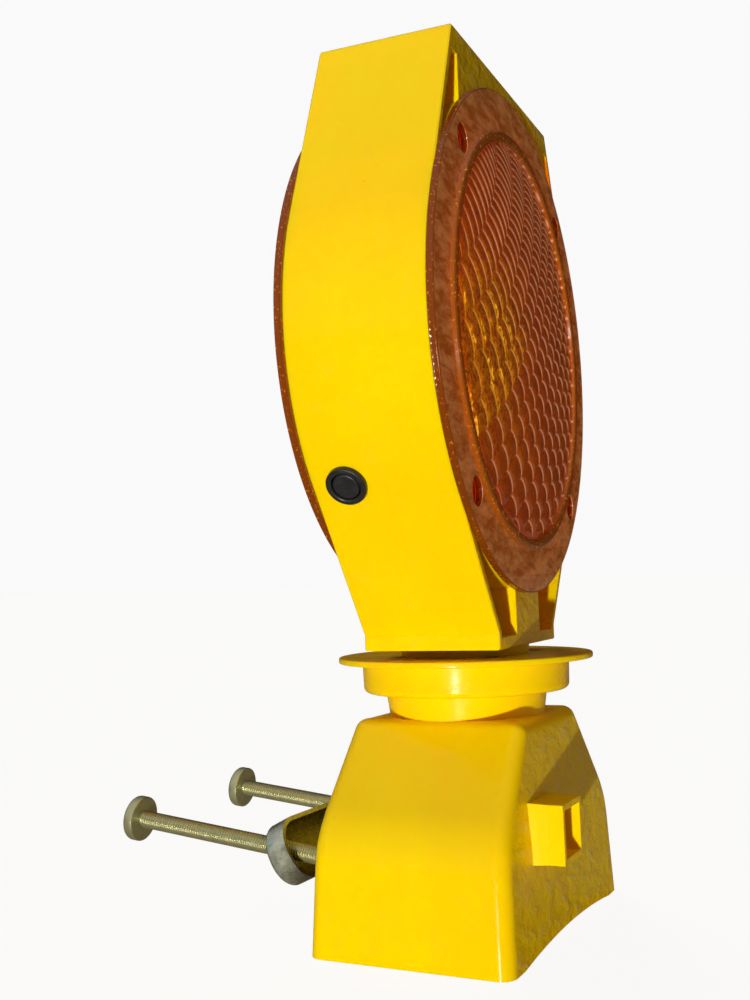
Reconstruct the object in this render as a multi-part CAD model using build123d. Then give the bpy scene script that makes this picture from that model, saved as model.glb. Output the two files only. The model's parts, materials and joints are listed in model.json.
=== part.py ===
from build123d import *
from math import acos, atan2, cos, degrees, hypot, radians, sin
import os

# Barricade warning light: a two-sided amber lamp head that swivels on a battery base.
# Millimetres, +Z up. The origin is the centre of the base's bottom rim. The two clamp bolts
# stand out of the back, +Y. The head is drawn square, with the front lens facing -Y and the
# push button on the -X side, and is then turned a little on the base.

# ---- driving dimensions -----------------------------------------------------------------

WALL = 2.5                      # moulded wall of the base and the head
RUN = 0.05                      # radial clearance of a running fit

LENS_R = 90.0                   # nominal 180 mm lens
LENS_Z = 202.4                  # height of the lens centre
LENS_THICK = 2.5
HEAD_HALF_DEPTH = 24.1
HEAD_R = 89.0                   # the side walls follow this circle round the lens
HEAD_TURN = 3.0                 # degrees, counter-clockwise from above, off square to the base
HEAD_TOP_Z = 300.0
HEAD_TOP_HALF = 56.7
FOOT_HALF = 33.8
FOOT_Z = 94.6                   # underside of the head
FOOT_KNEE_Z = 99.7              # the foot's sides are upright up to here
PANEL_HALF = 52.2               # flush panel above each lens
PANEL_LEDGE = 9.0               # solid edge above the upper pockets
COLUMN_HALF = 14.0              # flush column below each lens
POCKET_FLOOR_Z = 98.5
WEB = 3.0                       # web between a front and a rear pocket

LENS_SCREW_R = 81.0             # the lens screws are on this circle, at 45 degrees
LENS_CUP_R = 5.8                # moulded cup behind each screw hole of a lens
LENS_CUP_DEPTH = 5.1
LENS_HOLE_R = 4.85
BOSS_R = 7.3
LENS_RING_IN, LENS_RING_OUT, LENS_RING_RISE = 71.0, 75.2, 1.5
LENS_CROWN = 2.8                # rise of the lens middle over its edge

GASKET_IN, GASKET_OUT, GASKET_DEPTH = 87.1, 88.3, 1.2

SWITCH_Y = 11.8
SWITCH_BEZEL_R = 6.75
SWITCH_CAP_R = 4.5
SWITCH_TRAVEL = 1.5

BASE_HALF_X, BASE_HALF_Y = 58.0, 34.6
BASE_BEND_X, BASE_BEND_Z = 55.6, 37.3
BASE_BEND_R = 31.0
BASE_SIDE_SLOPE = 0.81          # sideways run of the upper walls per mm of height
BASE_WAIST_Y, BASE_WAIST_Z = 33.5, 34.0
BASE_TOP_HALF_Y = 30.9
BASE_TOP_Z = 71.0
BASE_CORNER_R = 5.0
BASE_ARCH_RISE, BASE_ARCH_HALF = 2.6, 46.0

NECK_LOW_R, NECK_R, NECK_WIDE_Z = 27.4, 28.6, 79.0
NECK_BORE_R = 25.0
NECK_ROOF = 3.5
FLANGE_R, FLANGE_THICK, FLANGE_TOP_Z = 45.2, 2.0, 91.5
COLLAR_R, COLLAR_LOW_R, COLLAR_EDGE_R = 36.8, 36.4, 3.0

SPIGOT_R, SPIGOT_BORE_R = 8.0, 5.0
SPIGOT_LOW_Z = 76.5
COLUMN_FLOOR_Z = 101.0

KEY_PORT_X, KEY_PORT_Z = -22.4, 37.2
KEY_PORT_HALF_X, KEY_PORT_HALF_Z = 9.4, 9.2
KEY_PORT_REACH = 10.6           # how far the hooded port stands out of the front wall

BOLT_X, BOLT_Y, BOLT_Z = 34.5, 34.0, 25.0   # where a bolt's axis leaves the back wall
BOLT_RISE = 6.2                 # degrees; the bolts point slightly upward
BOLT_R = 3.1
BOLT_OUT, BOLT_IN = 82.5, 12.0  # shank outside and inside the back wall
BOLT_HEAD_R, BOLT_HEAD_THICK = 7.9, 4.5

CLAMP_HALF_LENGTH, CLAMP_HEIGHT, CLAMP_DEPTH = 43.0, 21.6, 8.7
CLAMP_END_R = 10.2
CLAMP_SHEET = 1.5
CLAMP_Y, CLAMP_Z = 57.5, 24.4   # centre of the plate's outer face
CLAMP_LEAN = 27.0               # degrees; the loose plate hangs with its top outward
CLAMP_HOLE_R, CLAMP_HOLE_UP = 4.8, 3.4

CELL_R, CELL_LENGTH, CELL_X, CELL_Z = 13.0, 50.0, 13.3, 11.0   # LR14 (C size) cells
COVER_Z, COVER_THICK = 3.0, 2.5
TRAY_HALF_X, TRAY_HALF_Y, TRAY_SHEET = 27.8, 27.8, 1.3

BOARD_HALF_X, BOARD_THICK = 12.2, 1.6
BOARD_LOW_Z, BOARD_TOP_Z = 108.0, 224.0

# ---- places worked out from them ---------------------------------------------------------

FRONT = Pos(0, 0, LENS_Z) * Rot(90, 0, 0)    # local z runs out of the front lens
REAR = Rot(0, 0, 180) * FRONT                # local z runs out of the rear lens
CAN_R = HEAD_R - WALL                        # bore that holds the lamp
SWITCH_ANGLE = 180 + degrees(
    atan2(LENS_Z - FOOT_KNEE_Z, FOOT_HALF)
    - acos(HEAD_R / hypot(LENS_Z - FOOT_KNEE_Z, FOOT_HALF))
)
# local z runs out of the side wall through the button, from the lens axis
SWITCH = Pos(0, SWITCH_Y, LENS_Z) * Rot(0, 90 - SWITCH_ANGLE, 0)
BOLT_SIDES = {"left": -1, "right": 1}
CLAMP = Pos(0, CLAMP_Y, CLAMP_Z) * Rot(90 - CLAMP_LEAN, 0, 0)   # local z runs to the base
FLANGE_Z = FLANGE_TOP_Z - FLANGE_THICK


# ---- small shapes -----------------------------------------------------------------------

def rod(radius, low, high, x=0.0, y=0.0):
    """A round bar along Z between two heights."""
    return Pos(x, y, low) * Cylinder(
        radius, high - low, align=(Align.CENTER, Align.CENTER, Align.MIN)
    )


def tube(outer, inner, low, high, x=0.0, y=0.0):
    return rod(outer, low, high, x, y) - rod(inner, low - 1, high + 1, x, y)


def block(x, y, z):
    """A box from three (low, high) pairs."""
    return Pos((x[0] + x[1]) / 2, (y[0] + y[1]) / 2, (z[0] + z[1]) / 2) * Box(
        x[1] - x[0], y[1] - y[0], z[1] - z[0]
    )


def hex_nut(across_flats, bore, low, high):
    nut = extrude(RegularPolygon(across_flats / 2, 6, major_radius=False), high - low)
    return Pos(0, 0, low) * nut - rod(bore, low - 1, high + 1)


def turned(points):
    """A solid of revolution about Z from (radius, height) points."""
    return revolve(Plane.XZ * make_face(Polyline(*points, close=True)), Axis.Z)


def pan_screw(head_r, head_height, shank_r, length):
    """A screw pointing down -Z, the underside of its head at z = 0, with a cross recess."""
    head = rod(head_r, 0, head_height)
    head = fillet(head.edges().group_by(Axis.Z)[-1], head_height * 0.45)
    slot = Pos(0, 0, head_height) * Box(head_r * 1.1, head_r * 0.24, head_height)
    point = Pos(0, 0, -length) * Cone(
        shank_r * 0.3, shank_r, shank_r * 1.5, align=(Align.CENTER, Align.CENTER, Align.MIN)
    )
    shank = rod(shank_r, -length + shank_r * 1.5, 0)
    return head - slot - Rot(0, 0, 90) * slot + shank + point


def wire(radius, *points):
    """A round wire along a smooth curve through the points."""
    path = Spline(*points)
    return sweep(Plane(path @ 0, z_dir=path % 0) * Circle(radius), path=path)


def group(shapes):
    """Several separate solids in one node."""
    return Compound([shape.solid() for shape in shapes])


def lens_corners():
    """The four screw places of a lens, in its own plane."""
    for quarter in range(4):
        angle = radians(45 + 90 * quarter)
        yield LENS_SCREW_R * cos(angle), LENS_SCREW_R * sin(angle)


# ---- head -------------------------------------------------------------------------------

def touch_point(x, y):
    """Where the straight wall through the corner (x, y) runs onto the head's circle."""
    reach = hypot(x, y)
    turn = acos(HEAD_R / reach)
    angle = atan2(y, x) - (turn if y > 0 else -turn)
    return HEAD_R * cos(angle), HEAD_R * sin(angle)


def head_outline():
    """Front view of the head about the lens centre."""
    high, low, knee = HEAD_TOP_Z - LENS_Z, FOOT_Z - LENS_Z, FOOT_KNEE_Z - LENS_Z
    upper, lower = touch_point(HEAD_TOP_HALF, high), touch_point(FOOT_HALF, knee)
    edge = Curve() + [
        Polyline((0, low), (FOOT_HALF, low), (FOOT_HALF, knee), lower),
        ThreePointArc(lower, (HEAD_R, 0), upper),
        Polyline(upper, (HEAD_TOP_HALF, high), (0, high), (0, low)),
    ]
    half = make_face(edge)
    return half + mirror(half, Plane.YZ)


def head_pockets(outline):
    """The four hollows beside the panel and the column, as areas in the front view."""
    high = HEAD_TOP_Z - PANEL_LEDGE - LENS_Z
    low = POCKET_FLOOR_Z - LENS_Z
    band = Pos(0, (high + low) / 2) * Rectangle(4 * HEAD_R, high - low)
    area = offset(outline, -WALL, kind=Kind.INTERSECTION) & band
    area -= Circle(HEAD_R)
    area -= Pos(0, HEAD_R) * Rectangle(2 * PANEL_HALF, 2 * HEAD_R)
    area -= Pos(0, -HEAD_R) * Rectangle(2 * COLUMN_HALF, 2 * HEAD_R)
    return area


def head_housing():
    outline = head_outline()
    head = extrude(outline, HEAD_HALF_DEPTH, both=True)
    corners = head.edges().filter_by(Axis.Z).group_by(Axis.Y)[-1]
    head = fillet(corners, 1.5)
    rims = head.faces().filter_by(Axis.Z).edges()
    head = chamfer(rims, 0.5)

    pocket = extrude(head_pockets(outline), HEAD_HALF_DEPTH)
    head -= Pos(0, 0, WEB / 2) * pocket
    head -= Pos(0, 0, -WEB / 2 - HEAD_HALF_DEPTH) * pocket
    head -= rod(CAN_R, -HEAD_HALF_DEPTH - 1, HEAD_HALF_DEPTH + 1)
    inner = HEAD_HALF_DEPTH - 3.0
    roof = HEAD_TOP_Z - WALL - LENS_Z
    head -= block((-PANEL_HALF + WALL, PANEL_HALF - WALL), (40, roof), (-inner, inner))
    column = (-COLUMN_HALF + WALL, COLUMN_HALF - WALL)
    head -= block(column, (COLUMN_FLOOR_Z - LENS_Z, -60), (-inner, inner))
    head += block((-20, 20), (112 - LENS_Z, 125 - LENS_Z), (-4.0, -BOARD_THICK / 2 - RUN))

    for x, y in lens_corners():
        head += rod(BOSS_R, -HEAD_HALF_DEPTH, HEAD_HALF_DEPTH, x, y)
    for turn in (0, 180):
        face = Rot(0, turn, 0)
        for x, y in lens_corners():
            cup_floor = HEAD_HALF_DEPTH - LENS_CUP_DEPTH
            head -= face * rod(LENS_CUP_R + 0.1, cup_floor, HEAD_HALF_DEPTH + 1, x, y)
            head -= face * rod(1.7, 1, cup_floor + 1, x, y)
        groove = tube(GASKET_OUT, GASKET_IN, HEAD_HALF_DEPTH - GASKET_DEPTH, HEAD_HALF_DEPTH + 1)
        head -= face * groove
    head = FRONT * head

    slot = (COLUMN_FLOOR_Z, 120.0)
    edge = (-BOARD_HALF_X - RUN, BOARD_HALF_X + RUN)
    head -= block(edge, (-BOARD_THICK / 2 - RUN, BOARD_THICK / 2 + RUN), slot)
    head -= rod(SPIGOT_R + RUN, FOOT_Z - 1, COLUMN_FLOOR_Z + 1)
    head -= SWITCH * rod(6.0, CAN_R - 12, HEAD_R + 3)
    head -= SWITCH * rod(8.8, CAN_R - 26, CAN_R - 0.5)     # room for the switch and its nut
    for x in (-9, 9):
        head -= Pos(x, 0, 120) * Rot(90, 0, 0) * rod(1.05, -5, 0)
    return head


def lens():
    """A moulded lens, local z outward, measured from the head's middle plane."""
    back = HEAD_HALF_DEPTH + RUN
    face = back + LENS_THICK
    ring_top = face + LENS_RING_RISE
    crown = face + LENS_CROWN
    inner = LENS_RING_IN
    shape = turned([
        (inner, back), (LENS_R, back), (LENS_R, face), (LENS_RING_OUT + 0.3, face),
        (LENS_RING_OUT, ring_top), (inner + 0.3, ring_top), (inner, face),
    ])
    crown_r = (inner**2 + LENS_CROWN**2) / (2 * LENS_CROWN)
    dome = rod(inner, back, crown + 1) & Pos(0, 0, crown - crown_r) * Sphere(crown_r)
    shape += dome - Pos(0, 0, crown - LENS_THICK - crown_r) * Sphere(crown_r)
    cup_floor = HEAD_HALF_DEPTH - LENS_CUP_DEPTH + RUN
    for x, y in lens_corners():
        shape += rod(LENS_CUP_R, cup_floor, back, x, y)
        shape -= rod(LENS_HOLE_R, cup_floor + 1.5, face + 1, x, y)
        shape -= rod(2.0, cup_floor - 1, cup_floor + 2, x, y)
    return shape


def lens_gasket():
    return tube(GASKET_OUT - RUN, GASKET_IN + RUN,
                HEAD_HALF_DEPTH - GASKET_DEPTH, HEAD_HALF_DEPTH + RUN)


def lens_screws():
    seat = HEAD_HALF_DEPTH - LENS_CUP_DEPTH + RUN + 1.5
    screw = pan_screw(3.4, 2.4, 1.65, 10.0)
    return [Pos(x, y, seat) * screw for x, y in lens_corners()]


# ---- lamp and switch --------------------------------------------------------------------

def circuit_board():
    half = BOARD_THICK / 2
    board = block((-BOARD_HALF_X, BOARD_HALF_X), (-half, half), (BOARD_LOW_Z, BOARD_TOP_Z))
    board = fillet(board.edges().filter_by(Axis.Y), 1.5)
    for x in (-9, 9):
        board -= Pos(x, 0, 120) * Rot(90, 0, 0) * rod(1.3, -2, 2)
    return board


def board_screws():
    """Two screws from the front through the board into the rib behind it."""
    screw = pan_screw(2.2, 1.5, 1.0, 5.0)
    front = BOARD_THICK / 2
    return [Pos(x, -front, 120) * Rot(90, 0, 0) * screw for x in (-9, 9)]


def board_parts():
    """Flasher chip, driver, capacitor and light sensor on the front of the board."""
    front = -BOARD_THICK / 2
    chip = block((-4, 4), (front - 1.6, front), (134, 140))
    driver = block((-7, -1), (front - 2.2, front), (148, 154))
    capacitor = Pos(5.5, front, 152) * Rot(90, 0, 0) * rod(3.2, 0, 7.5)
    sensor = Pos(0, front, 220) * Rot(90, 0, 0) * rod(2.5, 0, 4)
    return [chip, driver, capacitor, fillet(sensor.edges().group_by(Axis.Y)[0], 1.2)]


def led_lamps():
    """Bullet LEDs, three on each side of the board about the lens centre."""
    bullet = rod(2.9, 0, 1.2) + rod(2.5, 0, 5) + Pos(0, 0, 5) * Sphere(2.5)
    face = BOARD_THICK / 2
    lamps = []
    for side in (FRONT, REAR):
        for height in (-11, 0, 11):
            lamps.append(side * Pos(0, height, face) * bullet)
    return lamps


def switch_bezel():
    """Fixed rubber rim of the push button with its threaded sleeve through the wall."""
    rim = tube(SWITCH_BEZEL_R, SWITCH_CAP_R + 0.35, HEAD_R, HEAD_R + 1.9)
    rim = fillet(rim.edges().group_by(Axis.Z)[-1], 0.6)
    sleeve = tube(5.9, SWITCH_CAP_R + 0.35, CAN_R - 4.0, HEAD_R)
    return SWITCH * (rim + sleeve)


def switch_nut():
    """Thin nut that pulls the bezel against the wall from inside the head."""
    return SWITCH * hex_nut(15.0, 5.95, CAN_R - 3.4, CAN_R - 1.1)


def switch_body():
    top = CAN_R - 4.05
    body = Pos(0, 0, top - 13) * Box(12.5, 12.5, 13, align=(Align.CENTER, Align.CENTER, Align.MIN))
    body = fillet(body.edges().filter_by(Axis.Z), 1.0)
    for x in (-3.5, 3.5):
        body += Pos(x, 0, top - 16) * Box(0.8, 2.4, 8)
    body -= rod(2.0 + RUN, top - 7, top + 1)
    return SWITCH * body


def switch_button():
    """Round cap with the plunger that works the switch."""
    cap = rod(SWITCH_CAP_R, CAN_R, HEAD_R + 1.6)
    cap = fillet(cap.edges().group_by(Axis.Z)[-1], 0.7)
    return SWITCH * (cap + rod(2.0, CAN_R - 8.0, CAN_R))


# ---- swivel -----------------------------------------------------------------------------

def swivel_spigot():
    """Hollow bolt that the head turns on; its bore carries the battery leads."""
    collar = rod(10.8, COLUMN_FLOOR_Z, COLUMN_FLOOR_Z + 3)
    return collar + rod(SPIGOT_R, SPIGOT_LOW_Z, COLUMN_FLOOR_Z) - rod(SPIGOT_BORE_R, 60, 120)


def swivel_nut():
    nut = hex_nut(23.0, SPIGOT_R + RUN, FLANGE_Z - NECK_ROOF - 7.0, FLANGE_Z - NECK_ROOF - 1.2)
    return chamfer(nut.edges().filter_by(Plane.XY).group_by(Axis.Z)[0].filter_by(GeomType.LINE), 0.8)


def swivel_washer():
    return tube(13.0, SPIGOT_R + RUN, FLANGE_Z - NECK_ROOF - 1.2, FLANGE_Z - NECK_ROOF)


def swivel_pad():
    """Friction pad that the head rests and turns on."""
    return tube(23.0, SPIGOT_R + RUN, FLANGE_TOP_Z, FOOT_Z)


def swivel_flange():
    """Disc under the head with the collar that caps the neck."""
    low = NECK_WIDE_Z
    skin = 2.2
    profile = [
        (SPIGOT_R + RUN, FLANGE_Z), (SPIGOT_R + RUN, FLANGE_TOP_Z), (FLANGE_R, FLANGE_TOP_Z),
        (FLANGE_R, FLANGE_Z), (COLLAR_R, FLANGE_Z), (COLLAR_LOW_R, low), (NECK_R + 0.1, low),
        (NECK_R + 0.1, low + skin), (COLLAR_LOW_R - skin, low + skin), (COLLAR_R - skin, FLANGE_Z),
    ]
    flange = turned(profile)
    circles = flange.edges().filter_by(GeomType.CIRCLE)
    outer_low = [e for e in circles if abs(e.radius - COLLAR_LOW_R) < 0.01]
    flange = fillet(outer_low, COLLAR_EDGE_R - 1.0)
    rim = [e for e in flange.edges().filter_by(GeomType.CIRCLE) if abs(e.radius - FLANGE_R) < 0.01]
    flange = fillet(rim, 0.6)
    for x, y in flange_screw_places():
        flange -= rod(1.8, FLANGE_Z - 1, FLANGE_TOP_Z + 1, x, y)
        flange -= Pos(x, y, FLANGE_TOP_Z - 0.65) * Cone(1.8, 3.6, 1.7)
    return flange


def flange_screw_places():
    for turn in (45, 135, 225, 315):
        yield 25.2 * cos(radians(turn)), 25.2 * sin(radians(turn))


def flange_screws():
    """Countersunk screws that hold the flange down on the neck, under the head's pad."""
    low = FLANGE_TOP_Z - 1.7
    screw = turned([(0, -8.0), (0.5, -8.0), (1.5, -6.0), (1.5, low - FLANGE_TOP_Z),
                    (3.0, -0.2), (0, -0.2)])
    slot = Box(3.6, 0.8, 1.6)
    screw = screw - slot - Rot(0, 0, 90) * slot
    return [Pos(x, y, FLANGE_TOP_Z) * screw for x, y in flange_screw_places()]


# ---- base -------------------------------------------------------------------------------

def base_block(inset, bottom, corner_r):
    """The base's body, or its hollow when inset, down to the height bottom."""
    drop = -bottom
    out_x = (BASE_HALF_X - BASE_BEND_X) / BASE_BEND_Z
    out_y = (BASE_HALF_Y - BASE_WAIST_Y) / BASE_WAIST_Z
    top_x = BASE_BEND_X - BASE_SIDE_SLOPE * (BASE_TOP_Z - BASE_BEND_Z)
    side = [(BASE_HALF_X + out_x * drop, bottom), (BASE_BEND_X, BASE_BEND_Z), (top_x, BASE_TOP_Z)]
    end = [(BASE_HALF_Y + out_y * drop, bottom), (BASE_WAIST_Y, BASE_WAIST_Z),
           (BASE_TOP_HALF_Y, BASE_TOP_Z)]

    def mirrored(points):
        return make_face(Polyline(*points, *[(-x, z) for x, z in reversed(points)], close=True))

    front_view = mirrored(side)
    bends = [v for v in front_view.vertices() if abs(v.Y - BASE_BEND_Z) < 0.01]
    front_view = fillet(bends, BASE_BEND_R)
    side_view = mirrored(end)
    if inset:
        front_view = offset(front_view, -inset, kind=Kind.INTERSECTION)
        side_view = offset(side_view, -inset, kind=Kind.INTERSECTION)
    wide = 2 * BASE_HALF_X
    body = extrude(Plane.XZ * front_view, wide, both=True)
    body &= extrude(Plane.YZ * side_view, wide, both=True)
    upright = [e for e in body.edges()
               if abs(e.tangent_at(0.5).Z) > 0.2 and abs(e.center().X) > 5 and abs(e.center().Y) > 5]
    body = fillet(upright, corner_r)
    top = body.faces().sort_by(Axis.Z)[-1]
    return fillet(top.edges(), corner_r * 0.96)


def bolt_axis(side):
    """Local z runs out of the back wall along a bolt; z = 0 is the wall."""
    return Pos(side * BOLT_X, BOLT_Y, BOLT_Z) * Rot(BOLT_RISE - 90, 0, 0)


def cover_screw_places():
    for x in (-47, 47):
        for y in (-24.5, 24.5):
            yield x, y


def key_port():
    """Hooded rectangular port on the front wall, open to the front, and its opening."""
    wall_y = -BASE_WAIST_Y
    centre = Pos(KEY_PORT_X, wall_y, KEY_PORT_Z) * Rot(90, 0, 0)
    wide, high = 2 * KEY_PORT_HALF_X, 2 * KEY_PORT_HALF_Z
    root = loft([
        Pos(0, 0, -2) * Rectangle(wide + 1.8, high + 0.8),
        Pos(0, 0, KEY_PORT_REACH / 2) * Rectangle(wide, high),
    ])
    hood = extrude(Pos(0, 0, KEY_PORT_REACH / 2) * Rectangle(wide, high), KEY_PORT_REACH / 2)
    opening = extrude(Pos(0, 0, 1.0) * Rectangle(wide - 3.2, high - 3.6), KEY_PORT_REACH)
    return centre * (root + hood), centre * opening


def base_shell():
    outer = base_block(0, 0, BASE_CORNER_R)
    neck = turned([(0, BASE_TOP_Z - 6), (NECK_LOW_R, BASE_TOP_Z - 6), (NECK_LOW_R, BASE_TOP_Z),
                   (NECK_R, NECK_WIDE_Z), (NECK_R, FLANGE_Z), (0, FLANGE_Z)])
    port, opening = key_port()
    hollow = base_block(WALL, -20, BASE_CORNER_R / 2)
    shell = outer + neck + port
    shell -= hollow
    shell -= rod(NECK_BORE_R, 50, FLANGE_Z - NECK_ROOF)
    shell -= rod(SPIGOT_R + RUN, 80, 100)
    shell -= opening

    arch_r = (BASE_ARCH_HALF**2 + BASE_ARCH_RISE**2) / (2 * BASE_ARCH_RISE)
    arch = Pos(0, 0, BASE_ARCH_RISE - arch_r) * Rot(90, 0, 0) * Cylinder(arch_r, 3 * BASE_HALF_Y)
    shell -= arch & block((-BASE_ARCH_HALF, BASE_ARCH_HALF), (-50, 50), (-1, 5))

    inside = outer - block((-70, 70), (-50, 50), (-1, COVER_Z + COVER_THICK))
    for x, y in cover_screw_places():
        boss = rod(4.0, COVER_Z + COVER_THICK, 24, x, y)
        boss += block(sorted((x, 56 * x / abs(x))), (y - 1, y + 1), (COVER_Z + COVER_THICK, 22))
        boss += block((x - 1, x + 1), sorted((y, 34 * y / abs(y))), (COVER_Z + COVER_THICK, 22))
        shell += boss & inside
        shell -= rod(1.5, COVER_Z, 20, x, y)
    for side in BOLT_SIDES.values():
        boss = bolt_axis(side) * rod(6.4, -9.0, -1.0)
        shell += boss & outer
        shell -= bolt_axis(side) * rod(BOLT_R + 0.25, -20, 5)
        pocket = extrude(RegularPolygon(5.05, 6, major_radius=False), 12)
        shell -= bolt_axis(side) * Pos(0, 0, -15.7) * pocket
    for x, y in flange_screw_places():
        boss = rod(3.6, FLANGE_Z - 9, FLANGE_Z - 1, x, y)
        shell += boss & rod(NECK_R - 0.2, FLANGE_Z - 9, FLANGE_Z)
        shell -= rod(1.55, FLANGE_Z - 7, FLANGE_Z + 1, x, y)
    return shell


def battery_cover():
    """Plate that closes the bottom, held by four screws, with finger ribs underneath."""
    hollow = base_block(WALL + 0.15, -20, BASE_CORNER_R / 2)
    cover = hollow & block((-70, 70), (-50, 50), (COVER_Z, COVER_Z + COVER_THICK))
    for x in range(-30, 31, 10):
        cover += block((x - 0.8, x + 0.8), (-16, 16), (COVER_Z - 1.0, COVER_Z))
    for x, y in cover_screw_places():
        cover -= rod(1.8, 0, 10, x, y)
        cover -= rod(3.3, 0, COVER_Z + 0.9, x, y)
    return cover


def battery_cover_screws():
    screw = Rot(180, 0, 0) * pan_screw(3.0, 2.0, 1.45, 11.0)
    return [Pos(x, y, COVER_Z + 0.9) * screw for x, y in cover_screw_places()]


def battery_tray():
    """Open box that stands on the cover and keeps the cells upright."""
    low, top = COVER_Z + COVER_THICK, CELL_Z + CELL_LENGTH
    tray = block((-TRAY_HALF_X, TRAY_HALF_X), (-TRAY_HALF_Y, TRAY_HALF_Y), (low, top))
    inner_x, inner_y = TRAY_HALF_X - TRAY_SHEET, TRAY_HALF_Y - TRAY_SHEET
    tray -= block((-inner_x, inner_x), (-inner_y, inner_y), (low + 1.5, top + 1))
    tray -= block((-16, 16), (-50, 50), (low + 14, top - 8))
    tray -= block((-50, 50), (-16, 16), (low + 14, top - 8))
    return tray


def cell_places():
    for x in (-CELL_X, CELL_X):
        for y in (-CELL_X, CELL_X):
            yield x, y


def battery_cells():
    """Cells with a raised positive cap, alternately up and down for a series pack."""
    can = fillet(rod(CELL_R, 0, CELL_LENGTH - 1.5).edges(), 0.9)
    cell = can + rod(3.4, CELL_LENGTH - 1.6, CELL_LENGTH)
    turned_cell = Pos(0, 0, CELL_LENGTH) * Rot(180, 0, 0) * cell
    return [Pos(x, y, CELL_Z) * (cell if x * y > 0 else turned_cell) for x, y in cell_places()]


def contact_spring(low, high):
    """Bowed strip that stands on the tray with both ends and presses a cell with its middle."""
    half, wide, sheet = 9.0, 6.0, 0.3
    rise = high - low
    radius = (half**2 + rise**2) / (2 * rise)
    bow = Pos(0, 0, high - radius) * Rot(90, 0, 0) * tube(radius, radius - sheet, -wide / 2, wide / 2)
    return bow & block((-half, half), (-wide, wide), (low, high))


def battery_springs():
    floor = COVER_Z + COVER_THICK + 1.5
    return [Pos(x, y, 0) * contact_spring(floor + 0.01, CELL_Z - 0.02) for x, y in cell_places()]


def battery_contact_plate():
    """Insulating roof of the pack that carries the upper contacts."""
    low = CELL_Z + CELL_LENGTH + 0.5
    plate = block((-27, 27), (-26.6, 26.6), (low, low + 1.5))
    plate = fillet(plate.edges().filter_by(Axis.Z), 3.0)
    return plate - rod(4, 0, 99)


def battery_contact_strips():
    """Nickel strips that join the cells' upper ends in pairs."""
    top = CELL_Z + CELL_LENGTH
    return [block((-19, 19), (y - 4, y + 4), (top + 0.05, top + 0.5)) for y in (-CELL_X, CELL_X)]


def battery_leads():
    top = CELL_Z + CELL_LENGTH + 2.0
    return [
        wire(0.9, (side * 18, side * 6, top + 0.9), (side * 9, side * 3, top + 6),
             (side * 1.6, 0, 80), (side * 1.6, 0, 92), (side * 1.6, 0, 103))
        for side in (-1, 1)
    ]


def lamp_leads():
    """Leads from the top of the spigot to the front of the board."""
    front = -BOARD_THICK / 2
    return [
        wire(0.9, (side * 2.4, -1.8, 104.3), (side * 2.8, front - 2.2, 108),
             (side * 3.0, front - 1.8, 112), (side * 3.0, front - 1.2, 118))
        for side in (-1, 1)
    ]


def switch_leads():
    """Two leads from the switch terminals to the board."""
    leads = []
    for side in (-1, 1):
        tail = SWITCH * Pos(side * 3.5, 0, CAN_R - 4.05 - 21.5)
        start = tail.position
        leads.append(wire(0.7, start, (start.X + 9, start.Y - 1, start.Z + 5),
                          (-18, 3.0, 166 + side * 4), (-10, BOARD_THICK / 2 + 0.75, 166 + side * 4)))
    return leads


# ---- mounting ---------------------------------------------------------------------------

def mount_bolt(side):
    """Fully threaded bolt with a low round head."""
    head = rod(BOLT_HEAD_R, BOLT_OUT, BOLT_OUT + BOLT_HEAD_THICK)
    head = chamfer(head.edges().group_by(Axis.Z)[-1], 1.1)
    head = chamfer(head.edges().group_by(Axis.Z)[0], 0.4)
    socket = Pos(0, 0, BOLT_OUT + BOLT_HEAD_THICK - 2.6) * extrude(
        RegularPolygon(2.5, 6, major_radius=False), 4
    )
    shank = rod(BOLT_R, -BOLT_IN, BOLT_OUT)
    shank = chamfer(shank.edges().group_by(Axis.Z)[0], 0.7)
    return bolt_axis(side) * (head - socket + shank)


def mount_nuts():
    nut = hex_nut(10.0, BOLT_R + RUN, -8.8, -3.8)
    return [bolt_axis(side) * nut for side in BOLT_SIDES.values()]


def clamp_plate():
    """Pressed steel cup with round ends that both bolts pass through."""
    shape = RectangleRounded(2 * CLAMP_HALF_LENGTH, CLAMP_HEIGHT, CLAMP_END_R)
    cup = extrude(shape, CLAMP_DEPTH)
    cup = fillet(cup.edges().group_by(Axis.Z)[0], 1.6)
    inner = RectangleRounded(
        2 * (CLAMP_HALF_LENGTH - CLAMP_SHEET), CLAMP_HEIGHT - 2 * CLAMP_SHEET,
        CLAMP_END_R - CLAMP_SHEET,
    )
    cup -= Pos(0, 0, CLAMP_SHEET) * extrude(inner, CLAMP_DEPTH)
    for side in BOLT_SIDES.values():
        cup -= rod(CLAMP_HOLE_R, -1, CLAMP_SHEET + 1, side * BOLT_X, CLAMP_HOLE_UP)
    return CLAMP * cup


# ---- every node -------------------------------------------------------------------------

def base_nodes():
    return {
        "base_shell": base_shell(),
        "battery_cover": battery_cover(),
        "battery_cover_screws": group(battery_cover_screws()),
        "battery_tray": battery_tray(),
        "battery_cells": group(battery_cells()),
        "battery_springs": group(battery_springs()),
        "battery_contact_plate": battery_contact_plate(),
        "battery_contact_strips": group(battery_contact_strips()),
        "battery_leads": group(battery_leads()),
        "swivel_flange": swivel_flange(),
        "flange_screws": group(flange_screws()),
        "mount_nuts": group(mount_nuts()),
        "swivel_pad": swivel_pad(),
        "clamp_plate": clamp_plate(),
        "left_mount_bolt": mount_bolt(BOLT_SIDES["left"]),
        "right_mount_bolt": mount_bolt(BOLT_SIDES["right"]),
    }


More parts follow.
